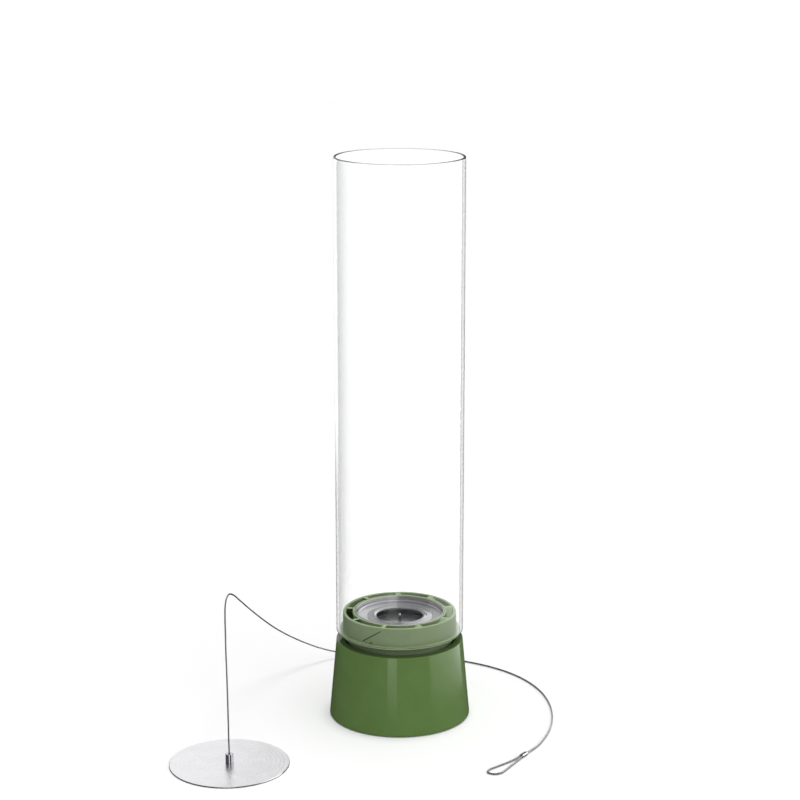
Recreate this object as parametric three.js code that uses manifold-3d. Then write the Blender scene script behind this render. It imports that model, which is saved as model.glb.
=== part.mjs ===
// Tabletop vortex fire: a conical base with a burner can, a cast ring of slanted air vanes
// that carries a glass chimney, and a snuffer disc on a wire rope with a hand loop.
// Millimetres, +Z up. The origin is the centre of the base's underside.
import * as THREE from 'three';
import { mergeVertices } from 'three/addons/utils/BufferGeometryUtils.js';
import Module from 'manifold-3d';

const wasm = await Module();
wasm.setup();

// ---------- driving dimensions ----------
const GAP = 0.3; // left between pieces that touch
const LARGE_ROUND = 54; // segments round the large turned pieces
const SMALL_ROUND = 16; // segments round the small turned pieces

const PAD_RADIUS = 59;
const PAD_TOP = 1.6;
const PLATE_RADIUS = 61.5;
const PLATE_THICKNESS = 2;
const PLATE_BOTTOM = PAD_TOP + GAP;
const PLATE_TOP = PLATE_BOTTOM + PLATE_THICKNESS;

const BASE_BOTTOM = 0.8;
const BASE_BOTTOM_RADIUS = 66.8;
const BASE_RIM = 75.4; // outer edge of the land round the mouth
const BASE_RIM_RADIUS = 59.9;
const BASE_TOP = 76; // inner edge of the land
const BASE_WALL = 3.2;
const BASE_BORE_RADIUS = 53.2;
const SHELF_TOP = 61.5;
const SHELF_THICKNESS = 4;
const SHELF_BORE_RADIUS = 43.2;
const SEAT_THICKNESS = 4.2; // inward flange that the plate screws to
const SEAT_BORE_RADIUS = 54.5;

const SCREW_COUNT = 4;
const SCREW_CIRCLE_RADIUS = 56.5;
const SCREW_RADIUS = 1.8;
const SCREW_HEAD_RADIUS = 3.7;
const SCREW_LENGTH = 12;
const BOSS_RADIUS = 4.5;
const BOSS_TOP = 18;

const RING_TOP = 102.3;
const RING_WALL_OUTER = 53.7;
const RING_WALL_INNER = 50.9;
const FLANGE_RADIUS = 59;
const FLANGE_TOP = 84.4;
const FLANGE_THICKNESS = 1.1;
const SKIRT_OUTER = 50.5;
const SKIRT_INNER = 48.2;
const SKIRT_BOTTOM = 73.8;
const COLLAR_OUTER = 44.5;
const COLLAR_INNER = 42.45;

const VANE_COUNT = 9;
const VANE_FIRST_DEG = 12.7;
const VANE_TOP_WIDTH_DEG = 4.8;
const VANE_SWEEP_DEG = 28.9;
const VANE_DROP = 18;
const VANE_STEPS = 6;

const GLASS_RADIUS = 60;
const GLASS_WALL = 2.3;
const GLASS_TOP = 533.4;
const GLASS_BOTTOM = FLANGE_TOP + GAP;
const GLASS_EDGE = 0.5;

const CAN_RADIUS = 41.2;
const CAN_WALL = 0.7;
const CAN_BOTTOM = PLATE_TOP + GAP;
const CAN_TOP = RING_TOP;
const CAN_RIM_RADIUS = 42.1;
const CAN_MOUTH_RADIUS = 41; // inside, above the ledge
const LEDGE_RADIUS = 39.6;
const LEDGE_TOP = 96.3;

const REDUCER_HOLE_RADIUS = 22;
const REDUCER_RADIUS = 40.65;
const DISH_RADIUS = 31; // where the reducer's face is lowest
const LIP_RADIUS = 24.2; // crest of the lip round the hole

const MESH_TOP = 84.5;
const MESH_THICKNESS = 1.2;
const MESH_RADIUS = 40;
const WOOL_TOP = MESH_TOP - MESH_THICKNESS - GAP;
const STEM_RADIUS = 1.15;
const BALL_RADIUS = 1.6;
const BALL_HEIGHT = 97.3;
const NUT_RADIUS = 3.2;
const NUT_HEIGHT = 2.4;

const DISC_X = -153.5;
const DISC_Y = -126.4;
const DISC_RADIUS = 54.3;
const DISC_THICKNESS = 1.2;
const FERRULE_RADIUS = 3.5;
const FERRULE_TOP = 9.7;
const FERRULE_BORE = 1.3;

const ROPE_RADIUS = 0.75;
const ROPE_SIDES = 8;
const ROPE_STEPS = 74;
const LOOP_STEPS = 26;
const CRIMP_LENGTH = 8.6;
const CRIMP_WIDTH = 4;
const CRIMP_HEIGHT = 3;
const CRIMP_X = 113;
const CRIMP_Y = -109.8;
const CRIMP_Z = 1.7;
const CRIMP_DEG = -125; // direction from the rope towards the loop

// The rope's route: up out of the ferrule, over, down behind the base and round on the table.
const ROPE_ROUTE = [
  [-153.5, -126.4, 10], [-153.6, -126.2, 16], [-153.9, -124.8, 24], [-154.2, -121.5, 34],
  [-154.8, -116, 48], [-155.8, -106.5, 64], [-157, -96, 79.5], [-158.2, -86, 91.3],
  [-159.5, -72, 103.6], [-161, -56, 113], [-162.2, -38, 118.7], [-162.3, -20, 120.5],
  [-161.2, -2, 118.4], [-158.6, 16, 111.2], [-153.6, 34, 99.2], [-146.3, 51, 85.3],
  [-136.2, 69, 69.2], [-124.5, 87, 53], [-111, 104, 38.3], [-95.5, 119.5, 25],
  [-79.7, 132.5, 14.2], [-66, 141.5, 7.4], [-48, 149.5, 2.6], [-28, 154, 1.1],
  [-4, 155, 1], [22, 150.5, 1], [46, 141.5, 1], [66.5, 130.5, 1],
  [89, 117, 1], [109.5, 99, 1], [126, 76.5, 1], [139, 46, 1],
  [145.3, 11, 1], [144.7, -26.5, 1], [139, -55.7, 1], [128.6, -84.5, 1.1],
  [121.3, -97.6, 1.4], [115.7, -106, 1.7],
];

// The hand loop, from the crimped sleeve round its tip and back beside itself.
const LOOP_ROUTE = [
  [109.5, -113, 1.7], [105.6, -117.6, 1.3], [100.2, -123.2, 1], [93.4, -129.6, 1],
  [85.4, -136.8, 1], [80.4, -141.8, 1], [78.6, -146.4, 1], [81.2, -150.4, 1],
  [86.6, -151.2, 1], [91.2, -148.2, 1], [95.4, -141.8, 1], [101, -131.8, 1],
  [106.4, -122.4, 1.1], [109.2, -117.5, 1.4], [111.2, -114.1, 1.7],
];

// ---------- solids and booleans ----------

function toManifold(geometry) {
  const bare = geometry.clone();
  bare.deleteAttribute('normal');
  bare.deleteAttribute('uv');
  const merged = mergeVertices(bare, 1e-4);
  return new wasm.Manifold(new wasm.Mesh({
    numProp: 3,
    vertProperties: new Float32Array(merged.attributes.position.array),
    triVerts: new Uint32Array(merged.index.array),
  }));
}

function toGeometry(manifold) {
  const mesh = manifold.getMesh();
  const geometry = new THREE.BufferGeometry();
  geometry.setAttribute('position', new THREE.BufferAttribute(new Float32Array(mesh.vertProperties), 3));
  geometry.setIndex(new THREE.BufferAttribute(new Uint32Array(mesh.triVerts), 1));
  geometry.computeVertexNormals();
  return geometry;
}

// Turns a profile of [radius, height] points, listed up the outside and down the inside, about +Z.
function turned(profile, segments = LARGE_ROUND) {
  const first = profile[0];
  const onAxis = first[0] === 0;
  const points = profile.map(([radius, height]) => new THREE.Vector2(radius, height));
  if (!onAxis) {
    points.push(new THREE.Vector2(first[0], first[1]));
  }
  return new THREE.LatheGeometry(points, segments).rotateX(Math.PI / 2);
}

function post(radius, bottom, top, segments = SMALL_ROUND) {
  return turned([[0, bottom], [radius, bottom], [radius, top], [0, top]], segments);
}

// A slab between two radii that follows a slanted line round +Z in equal steps. from and to are
// [degrees, height] points, and offset is the slab's thickness, which lies to the left of the line.
function slantedSlab(from, to, offset, innerRadius, outerRadius, steps) {
  const geometry = new THREE.BoxGeometry(1, 1, 1, steps, 1, 1).translate(0.5, 0.5, 0.5);
  const position = geometry.attributes.position;
  for (let i = 0; i < position.count; i += 1) {
    const along = position.getX(i);
    const across = position.getY(i);
    const deg = from[0] + (to[0] - from[0]) * along + offset[0] * across;
    const height = from[1] + (to[1] - from[1]) * along + offset[1] * across;
    const radius = innerRadius + (outerRadius - innerRadius) * position.getZ(i);
    const angle = (deg * Math.PI) / 180;
    position.setXYZ(i, radius * Math.cos(angle), radius * Math.sin(angle), height);
  }
  return geometry;
}

// Sweeps a round section along a smooth curve through the route's points.
function cordTube(route, steps) {
  const curve = new THREE.CatmullRomCurve3(route.map((point) => new THREE.Vector3(...point)));
  const section = new THREE.Shape();
  for (let i = 0; i < ROPE_SIDES; i += 1) {
    const angle = (i / ROPE_SIDES) * 2 * Math.PI;
    const x = ROPE_RADIUS * Math.cos(angle);
    const y = ROPE_RADIUS * Math.sin(angle);
    if (i === 0) {
      section.moveTo(x, y);
    } else {
      section.lineTo(x, y);
    }
  }
  return new THREE.ExtrudeGeometry(section, { steps, extrudePath: curve, bevelEnabled: false });
}

// ---------- materials ----------

function finish(color, roughness, metalness) {
  return () => new THREE.MeshStandardMaterial({ color, roughness, metalness });
}

const greenPaint = finish('#55753f', 0.35, 0);
const sagePaint = finish('#6f8361', 0.45, 0);
const clearGlass = finish('#e6ecec', 0.05, 0);
const steel = finish('#b2b2b6', 0.3, 1);
const satinSteel = finish('#d2d2d4', 0.4, 1);
const polishedSteel = finish('#c6c6ca', 0.12, 1);
const ropeSteel = finish('#8e8e90', 0.4, 1);
const zincSteel = finish('#9b9ea0', 0.45, 1);
const darkFelt = finish('#2c2c2b', 0.95, 0);
const fuelWool = finish('#b8b5ac', 1, 0);

const fire = new THREE.Group();

function add(name, geometry, material, parent = fire) {
  const mesh = new THREE.Mesh(geometry, material());
  mesh.name = name;
  parent.add(mesh);
  return mesh;
}

// ---------- base ----------

function screwPlaces() {
  const places = [];
  for (let i = 0; i < SCREW_COUNT; i += 1) {
    const angle = ((i + 0.5) / SCREW_COUNT) * 2 * Math.PI;
    places.push([SCREW_CIRCLE_RADIUS * Math.cos(angle), SCREW_CIRCLE_RADIUS * Math.sin(angle)]);
  }
  return places;
}

// The cone's outer radius at a height.
function coneRadius(height) {
  const part = (height - BASE_BOTTOM) / (BASE_RIM - BASE_BOTTOM);
  return BASE_BOTTOM_RADIUS + (BASE_RIM_RADIUS - BASE_BOTTOM_RADIUS) * part;
}

function baseShell() {
  const seatBottom = PLATE_TOP + GAP;
  const seatTop = seatBottom + SEAT_THICKNESS;
  const shelfBottom = SHELF_TOP - SHELF_THICKNESS;
  const edge = 0.7;
  const body = toManifold(turned([
    [BASE_BOTTOM_RADIUS - edge, BASE_BOTTOM],
    [coneRadius(BASE_BOTTOM + edge), BASE_BOTTOM + edge],
    [coneRadius(BASE_RIM - edge), BASE_RIM - edge],
    [BASE_RIM_RADIUS - 0.25, BASE_RIM - 0.15],
    [BASE_RIM_RADIUS - edge, BASE_RIM],
    [BASE_BORE_RADIUS + 0.7, BASE_TOP],
    [BASE_BORE_RADIUS + 0.2, BASE_TOP - 0.2],
    [BASE_BORE_RADIUS, BASE_TOP - 0.7],
    [BASE_BORE_RADIUS, SHELF_TOP],
    [SHELF_BORE_RADIUS, SHELF_TOP],
    [SHELF_BORE_RADIUS, shelfBottom],
    [coneRadius(shelfBottom) - BASE_WALL, shelfBottom],
    [coneRadius(seatTop) - BASE_WALL, seatTop],
    [SEAT_BORE_RADIUS, seatTop],
    [SEAT_BORE_RADIUS, seatBottom],
    [PLATE_RADIUS + 0.5, seatBottom],
    [PLATE_RADIUS + 0.5, BASE_BOTTOM],
  ]));
  let shell = body;
  for (const [x, y] of screwPlaces()) {
    const boss = post(BOSS_RADIUS, seatBottom, BOSS_TOP).translate(x, y, 0);
    shell = shell.add(toManifold(boss));
  }
  for (const [x, y] of screwPlaces()) {
    const hole = post(SCREW_RADIUS + GAP, seatBottom - 1, BOSS_TOP - 2).translate(x, y, 0);
    shell = shell.subtract(toManifold(hole));
  }
  return toGeometry(shell);
}

function basePlate() {
  let plate = toManifold(post(PLATE_RADIUS, PLATE_BOTTOM, PLATE_TOP, LARGE_ROUND));
  for (const [x, y] of screwPlaces()) {
    const countersink = turned([
      [0, PLATE_BOTTOM - 1],
      [SCREW_HEAD_RADIUS + GAP, PLATE_BOTTOM - 1],
      [SCREW_HEAD_RADIUS + GAP, PLATE_BOTTOM + 0.1],
      [SCREW_RADIUS + GAP, PLATE_BOTTOM + 1.8],
      [SCREW_RADIUS + GAP, PLATE_TOP + 1],
      [0, PLATE_TOP + 1],
    ], SMALL_ROUND).translate(x, y, 0);
    plate = plate.subtract(toManifold(countersink));
  }
  return toGeometry(plate);
}

// A countersunk screw with a round socket in its head, head down.
function countersunkScrew(headRadius, shankRadius, length) {
  const headHeight = headRadius - shankRadius;
  const socketRadius = shankRadius * 0.65;
  const socketDepth = headHeight * 0.6;
  return turned([
    [0, socketDepth],
    [socketRadius, socketDepth],
    [socketRadius, 0],
    [headRadius, 0],
    [shankRadius, headHeight],
    [shankRadius, length - 0.5],
    [shankRadius - 0.5, length],
    [0, length],
  ], SMALL_ROUND);
}

// ---------- swirl ring ----------

// One blade: a slanted slab whose level top is the spoke seen from above.
function vane(index) {
  const start = VANE_FIRST_DEG + (index * 360) / VANE_COUNT - VANE_TOP_WIDTH_DEG / 2;
  const top = [start, RING_TOP];
  const foot = [start - VANE_SWEEP_DEG, RING_TOP - VANE_DROP];
  const inner = COLLAR_OUTER - 0.5;
  const outer = RING_WALL_INNER + 0.5;
  return slantedSlab(top, foot, [VANE_TOP_WIDTH_DEG, 0], inner, outer, VANE_STEPS);
}

// The shallow engraved line that follows one blade on the ring's outer wall, with a short stub.
function engravedLine() {
  const depth = 1.5;
  const width = 1.1;
  const floor = RING_WALL_OUTER - depth;
  const reach = floor + 2;
  const line = slantedSlab([-129.8, 85.4], [-108.9, 98.3], [0, width], floor, reach, VANE_STEPS);
  const stub = slantedSlab([-121.4, 84.3], [-118.2, 86.2], [0, width], floor, reach, 1);
  return [toManifold(line), toManifold(stub)];
}

function swirlRing() {
  const flangeBottom = FLANGE_TOP - FLANGE_THICKNESS;
  const outer = turned([
    [SKIRT_OUTER - 0.4, SKIRT_BOTTOM],
    [SKIRT_OUTER, SKIRT_BOTTOM + 0.5],
    [SKIRT_OUTER, flangeBottom - 0.7],
    [SKIRT_OUTER + 0.7, flangeBottom],
    [FLANGE_RADIUS - 0.3, flangeBottom],
    [FLANGE_RADIUS, flangeBottom + 0.3],
    [FLANGE_RADIUS, FLANGE_TOP - 0.3],
    [FLANGE_RADIUS - 0.3, FLANGE_TOP],
    [RING_WALL_OUTER + 0.8, FLANGE_TOP],
    [RING_WALL_OUTER, FLANGE_TOP + 0.8],
    [RING_WALL_OUTER, RING_TOP - 0.4],
    [RING_WALL_OUTER - 0.4, RING_TOP],
    [RING_WALL_INNER + 0.3, RING_TOP],
    [RING_WALL_INNER, RING_TOP - 0.3],
    [RING_WALL_INNER, RING_TOP - VANE_DROP + 3],
    [SKIRT_INNER, FLANGE_TOP - 1.4],
    [SKIRT_INNER, SKIRT_BOTTOM + 0.4],
    [SKIRT_INNER + 0.4, SKIRT_BOTTOM],
  ]);
  const collar = turned([
    [COLLAR_OUTER, SHELF_TOP + GAP],
    [COLLAR_OUTER, RING_TOP - 0.3],
    [COLLAR_OUTER - 0.3, RING_TOP],
    [COLLAR_INNER + 0.3, RING_TOP],
    [COLLAR_INNER, RING_TOP - 0.3],
    [COLLAR_INNER, SHELF_TOP + GAP],
  ]);
  let ring = toManifold(outer).add(toManifold(collar));
  for (let i = 0; i < VANE_COUNT; i += 1) {
    ring = ring.add(toManifold(vane(i)));
  }
  for (const cut of engravedLine()) {
    ring = ring.subtract(cut);
  }
  return toGeometry(ring);
}

// ---------- glass ----------

function glassTube() {
  const inner = GLASS_RADIUS - GLASS_WALL;
  return turned([
    [GLASS_RADIUS - GLASS_EDGE, GLASS_BOTTOM],
    [GLASS_RADIUS, GLASS_BOTTOM + GLASS_EDGE],
    [GLASS_RADIUS, GLASS_TOP - GLASS_EDGE],
    [GLASS_RADIUS - GLASS_EDGE, GLASS_TOP],
    [inner + GLASS_EDGE, GLASS_TOP],
    [inner, GLASS_TOP - GLASS_EDGE],
    [inner, GLASS_BOTTOM + GLASS_EDGE],
    [inner + GLASS_EDGE, GLASS_BOTTOM],
  ]);
}

// ---------- burner ----------

function burnerCan() {
  const mouthOuter = CAN_MOUTH_RADIUS + CAN_WALL;
  const inner = CAN_RADIUS - CAN_WALL;
  const corner = 2.4;
  return turned([
    [0, CAN_BOTTOM],
    [CAN_RADIUS - corner, CAN_BOTTOM],
    [CAN_RADIUS, CAN_BOTTOM + corner],
    [CAN_RADIUS, LEDGE_TOP - 3.2],
    [LEDGE_RADIUS + CAN_WALL, LEDGE_TOP - 2],
    [LEDGE_RADIUS + CAN_WALL, LEDGE_TOP - 1],
    [mouthOuter, LEDGE_TOP - 0.2],
    [mouthOuter, CAN_TOP - 2.6],
    [CAN_RIM_RADIUS, CAN_TOP - 2.1],
    [CAN_RIM_RADIUS, CAN_TOP - 0.4],
    [CAN_RIM_RADIUS - 0.3, CAN_TOP],
    [CAN_MOUTH_RADIUS + 0.3, CAN_TOP],
    [CAN_MOUTH_RADIUS, CAN_TOP - 0.4],
    [CAN_MOUTH_RADIUS, LEDGE_TOP],
    [LEDGE_RADIUS, LEDGE_TOP - 0.6],
    [LEDGE_RADIUS, LEDGE_TOP - 1.9],
    [inner, LEDGE_TOP - 3.3],
    [inner, CAN_BOTTOM + corner],
    [inner - corner + 0.6, CAN_BOTTOM + CAN_WALL],
    [0, CAN_BOTTOM + CAN_WALL],
  ]);
}

// A spun ring: raised outer edge, face falling gently inwards, rolled lip round the hole.
function reducerRing() {
  const seat = LEDGE_TOP + GAP;
  return turned([
    [REDUCER_RADIUS, seat],
    [REDUCER_RADIUS, seat + 1.9],
    [REDUCER_RADIUS - 0.5, seat + 2.3],
    [REDUCER_RADIUS - 1.5, seat + 1.1],
    [DISH_RADIUS, seat + 0.1],
    [LIP_RADIUS + 1.8, seat + 0.6],
    [LIP_RADIUS, seat + 1.7],
    [REDUCER_HOLE_RADIUS, seat + 0.6],
    [REDUCER_HOLE_RADIUS, seat - 1],
    [REDUCER_HOLE_RADIUS + 0.9, seat - 1],
    [LIP_RADIUS, seat + 0.7],
    [DISH_RADIUS, seat - 0.8],
    [LEDGE_RADIUS - 1, seat],
  ]);
}

function woolPad() {
  const pocketRadius = NUT_RADIUS + 2;
  const pocketBottom = WOOL_TOP - 8;
  const bottom = CAN_BOTTOM + CAN_WALL + GAP;
  const corner = 2.4;
  const radius = CAN_RADIUS - CAN_WALL - 0.5;
  return turned([
    [0, bottom],
    [radius - corner, bottom],
    [radius, bottom + corner],
    [radius, WOOL_TOP],
    [pocketRadius, WOOL_TOP],
    [pocketRadius, pocketBottom],
    [0, pocketBottom],
  ], SMALL_ROUND * 2);
}

function meshDisc() {
  const hole = STEM_RADIUS + GAP;
  const bottom = MESH_TOP - MESH_THICKNESS;
  return turned([
    [hole, bottom],
    [MESH_RADIUS, bottom],
    [MESH_RADIUS, MESH_TOP],
    [hole, MESH_TOP],
  ]);
}

function stem() {
  const shoulderBottom = MESH_TOP + GAP;
  const top = BALL_HEIGHT - BALL_RADIUS - GAP;
  return turned([
    [0, WOOL_TOP - 6],
    [STEM_RADIUS, WOOL_TOP - 6],
    [STEM_RADIUS, shoulderBottom],
    [2.6, shoulderBottom],
    [2.6, shoulderBottom + 1],
    [STEM_RADIUS, shoulderBottom + 1],
    [STEM_RADIUS, top],
    [0, top],
  ], SMALL_ROUND);
}

function stemNut() {
  const top = MESH_TOP - MESH_THICKNESS - GAP;
  const hex = toManifold(post(NUT_RADIUS, top - NUT_HEIGHT, top, 6));
  const bore = toManifold(post(STEM_RADIUS + GAP, top - NUT_HEIGHT - 1, top + 1));
  return toGeometry(hex.subtract(bore));
}

// ---------- snuffer ----------

function snufferDisc() {
  const hole = 1.45;
  return turned([
    [2.9, 0],
    [DISC_RADIUS - 0.3, 0],
    [DISC_RADIUS, 0.3],
    [DISC_RADIUS, DISC_THICKNESS - 0.3],
    [DISC_RADIUS - 0.3, DISC_THICKNESS],
    [hole, DISC_THICKNESS],
    [hole, DISC_THICKNESS - 0.1],
  ]);
}

function ropeFerrule() {
  const bottom = DISC_THICKNESS + GAP;
  const boreTop = 6.2;
  return turned([
    [0, boreTop],
    [FERRULE_BORE, boreTop],
    [FERRULE_BORE, bottom],
    [FERRULE_RADIUS, bottom],
    [FERRULE_RADIUS, FERRULE_TOP - 0.5],
    [FERRULE_RADIUS - 0.5, FERRULE_TOP],
    [0, FERRULE_TOP],
  ], SMALL_ROUND);
}

// The flattened sleeve that holds the two rope ends, lying along its local X.
function crimpSleeve() {
  const round = 1.2;
  const outline = new THREE.Shape();
  const x = CRIMP_WIDTH / 2;
  const y = CRIMP_HEIGHT / 2;
  outline.moveTo(-x + round, -y);
  outline.lineTo(x - round, -y);
  outline.absarc(x - round, -y + round, round, -Math.PI / 2, 0);
  outline.absarc(x - round, y - round, round, 0, Math.PI / 2);
  outline.absarc(-x + round, y - round, round, Math.PI / 2, Math.PI);
  outline.absarc(-x + round, -y + round, round, Math.PI, Math.PI * 1.5);
  const bar = new THREE.ExtrudeGeometry(outline, {
    depth: CRIMP_LENGTH,
    curveSegments: 4,
    bevelEnabled: false,
  });
  return bar.translate(0, 0, -CRIMP_LENGTH / 2).rotateX(Math.PI / 2).rotateZ(Math.PI / 2);
}

// ---------- assembly ----------

add('foot_pad', post(PAD_RADIUS, 0, PAD_TOP, LARGE_ROUND), darkFelt);
add('base_plate', basePlate(), zincSteel);
add('base_shell', baseShell(), greenPaint);
screwPlaces().forEach(([x, y], index) => {
  const screw = add(`base_screw_${index + 1}`,
    countersunkScrew(SCREW_HEAD_RADIUS, SCREW_RADIUS, SCREW_LENGTH), zincSteel);
  screw.position.set(x, y, PLATE_BOTTOM + 0.1);
});

add('swirl_ring', swirlRing(), sagePaint);
add('glass_tube', glassTube(), clearGlass);

add('burner_can', burnerCan(), steel);
add('wool_pad', woolPad(), fuelWool);
add('mesh_disc', meshDisc(), steel);
add('stem', stem(), polishedSteel);
add('stem_nut', stemNut(), zincSteel);
const ball = add('stem_ball', new THREE.SphereGeometry(BALL_RADIUS, SMALL_ROUND, 8), polishedSteel);
ball.position.z = BALL_HEIGHT;
add('reducer_ring', reducerRing(), steel);

const snuffer = new THREE.Group();
snuffer.position.set(DISC_X, DISC_Y, 0);
fire.add(snuffer);
add('snuffer_disc', snufferDisc(), satinSteel, snuffer);
add('rope_ferrule', ropeFerrule(), polishedSteel, snuffer);
const discScrew = add('disc_screw', countersunkScrew(2.2, 1, 5.6), zincSteel, snuffer);
discScrew.position.z = 0.1;

add('wire_rope', cordTube(ROPE_ROUTE, ROPE_STEPS), ropeSteel);
add('rope_loop', cordTube(LOOP_ROUTE, LOOP_STEPS), ropeSteel);
const crimp = add('loop_crimp', crimpSleeve(), polishedSteel);
crimp.position.set(CRIMP_X, CRIMP_Y, CRIMP_Z);
crimp.rotation.z = (CRIMP_DEG * Math.PI) / 180;

export default fire;
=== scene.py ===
import math
import random

import bmesh
import bpy
from mathutils import Matrix, Quaternion, Vector


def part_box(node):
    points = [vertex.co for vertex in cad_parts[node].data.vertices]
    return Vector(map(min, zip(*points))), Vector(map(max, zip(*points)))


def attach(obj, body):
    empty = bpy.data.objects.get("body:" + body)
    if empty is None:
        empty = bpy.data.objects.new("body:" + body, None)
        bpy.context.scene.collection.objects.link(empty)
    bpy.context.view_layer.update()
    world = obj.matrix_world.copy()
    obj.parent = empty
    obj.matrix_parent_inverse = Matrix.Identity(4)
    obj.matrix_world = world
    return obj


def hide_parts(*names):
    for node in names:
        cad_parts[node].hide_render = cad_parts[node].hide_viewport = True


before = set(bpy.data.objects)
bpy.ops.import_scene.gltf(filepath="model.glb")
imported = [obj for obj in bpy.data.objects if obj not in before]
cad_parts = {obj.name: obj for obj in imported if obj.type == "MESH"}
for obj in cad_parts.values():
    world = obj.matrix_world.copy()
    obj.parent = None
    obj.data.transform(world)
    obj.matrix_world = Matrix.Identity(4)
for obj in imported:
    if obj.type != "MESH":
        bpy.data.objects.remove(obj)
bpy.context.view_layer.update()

# A tabletop vortex fire: a conical base with a burner can, a cast ring of slanted air vanes that carries
# a glass chimney, and a snuffer disc on a wire rope with a hand loop. Metres, +Z up, as the CAD.

MM = 0.001
ROUND = 216  # segments round the large turned pieces
GLASS_ROUND = 288  # segments round the glass
SMALL_ROUND = 48  # segments round the small turned pieces
ARC_STEP = math.radians(15)  # longest step along a filleted corner
SUPPORT = 0.3 * MM  # from the end of a straight stretch to its first extra point
SHARP_ANGLE = math.radians(32)  # a sharper crease is shaded as an edge


# ---------- camera ----------

def make_camera():
    data = bpy.data.cameras.new("camera")
    data.lens = 95.01
    data.sensor_width = 36
    data.clip_end = 50
    camera = bpy.data.objects.new("camera", data)
    camera.location = (0.0004, -1.9007, 0.7690)
    camera.rotation_euler = (math.radians(76.341), 0, 0)
    bpy.context.scene.collection.objects.link(camera)
    bpy.context.scene.camera = camera


# ---------- meshes ----------

def new_piece(name, vertices, faces):
    """A mesh object with outward normals, smooth but for its sharp edges."""
    mesh = bpy.data.meshes.new(name)
    mesh.from_pydata([tuple(v) for v in vertices], [], faces)
    work = bmesh.new()
    work.from_mesh(mesh)
    bmesh.ops.recalc_face_normals(work, faces=work.faces)
    work.to_mesh(mesh)
    work.free()
    piece = bpy.data.objects.new(name, mesh)
    bpy.context.scene.collection.objects.link(piece)
    shade(piece)
    return piece


def shade(piece):
    mesh = piece.data
    mesh.polygons.foreach_set("use_smooth", [True] * len(mesh.polygons))
    mesh.set_sharp_from_angle(angle=SHARP_ANGLE)


def tube_faces(stations, around):
    """The sides and ends of a tube whose vertices come station by station, with around at each."""
    last = (stations - 1) * around
    faces = [tuple(range(around)), tuple(range(last, last + around))]
    for first in range(0, last, around):
        for k in range(around):
            a = first + k
            b = first + (k + 1) % around
            faces.append((a, b, b + around, a + around))
    return faces


def filleted(corners):
    """Rounds the corners (radius, height, fillet) of a closed outline. A corner with no fillet stays."""
    outline = []
    for i, corner in enumerate(corners):
        here = Vector(corner[:2])
        if len(corner) < 3:
            outline.append(here)
            continue
        before = (Vector(corners[i - 1][:2]) - here).normalized()
        after = (Vector(corners[(i + 1) % len(corners)][:2]) - here).normalized()
        half = before.angle(after) / 2
        reach = corner[2] / math.tan(half)
        centre = here + (before + after).normalized() * corner[2] / math.sin(half)
        start = here + before * reach - centre
        turn = math.pi - 2 * half
        side = math.copysign(1, after.cross(before))
        steps = max(2, math.ceil(turn / ARC_STEP))
        for k in range(steps + 1):
            outline.append(centre + Matrix.Rotation(side * turn * k / steps, 2) @ start)
    return supported(outline)


def supported(outline):
    """Adds a point near each end of a long straight stretch, so that its shading stays flat."""
    result = []
    for a, b in zip(outline, outline[1:] + outline[:1]):
        result.append(a)
        run = (b - a).length
        if run > 5 * SUPPORT and max(a.x, b.x) > 1e-7:
            result.append(a.lerp(b, SUPPORT / run))
            result.append(a.lerp(b, 1 - SUPPORT / run))
    return result


def lathe(name, outline, segments=ROUND, closed=True):
    """Turns (radius, height) points about +Z. An open outline starts and ends on the axis."""
    vertices = []
    rings = []
    for radius, height in outline:
        count = segments if radius > 1e-7 else 1
        rings.append(range(len(vertices), len(vertices) + count))
        for k in range(count):
            angle = 2 * math.pi * k / segments
            vertices.append((radius * math.cos(angle), radius * math.sin(angle), height))
    faces = []
    pairs = zip(rings, rings[1:] + rings[:1]) if closed else zip(rings, rings[1:])
    for a, b in pairs:
        for k in range(segments):
            corners = [a[k % len(a)], a[(k + 1) % len(a)], b[(k + 1) % len(b)], b[k % len(b)]]
            faces.append(tuple(dict.fromkeys(corners)))
    return new_piece(name, vertices, faces)


def sweep(name, path, section, twist=0.0):
    """Carries a closed section [(x, y)] along a path without rolling, plus twist radians per metre."""
    vertices = []
    tangent = (path[1] - path[0]).normalized()
    side = tangent.orthogonal().normalized()
    travelled = 0.0
    for i, point in enumerate(path):
        ahead = path[min(i + 1, len(path) - 1)] - path[max(i - 1, 0)]
        turn = tangent.rotation_difference(ahead)
        tangent = ahead.normalized()
        side = turn @ side
        travelled += (point - path[max(i - 1, 0)]).length
        x_axis = Quaternion(tangent, twist * travelled) @ side
        y_axis = tangent.cross(x_axis)
        vertices.extend(point + x_axis * x + y_axis * y for x, y in section)
    return new_piece(name, vertices, tube_faces(len(path), len(section)))


def join(pieces):
    """Joins loose shells into the first piece's mesh."""
    work = bmesh.new()
    for piece in pieces:
        work.from_mesh(piece.data)
    work.to_mesh(pieces[0].data)
    work.free()
    for piece in pieces[1:]:
        bpy.data.objects.remove(piece)
    shade(pieces[0])
    return pieces[0]


def combine(piece, tool, operation):
    """Adds a tool to a piece, or cuts it away, and removes the tool."""
    modifier = piece.modifiers.new("combine", "BOOLEAN")
    modifier.operation = operation
    modifier.solver = "MANIFOLD"
    modifier.object = tool
    graph = bpy.context.evaluated_depsgraph_get()
    mesh = bpy.data.meshes.new_from_object(piece.evaluated_get(graph))
    piece.modifiers.clear()
    piece.data = mesh
    bpy.data.objects.remove(tool)
    shade(piece)


def turned_size(name):
    """The radius, bottom and top of a turned CAD node. Its facets have corners at +Y and -Y."""
    low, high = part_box(name)
    return (high.y - low.y) / 2, low.z, high.z


def place(piece, body, replaced, material):
    """Gives a finished piece its body, material slot and material, in place of its CAD nodes."""
    piece.data.materials.clear()
    piece.data.materials.append(material)
    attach(piece, body)
    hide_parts(*replaced)
    return piece


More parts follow.
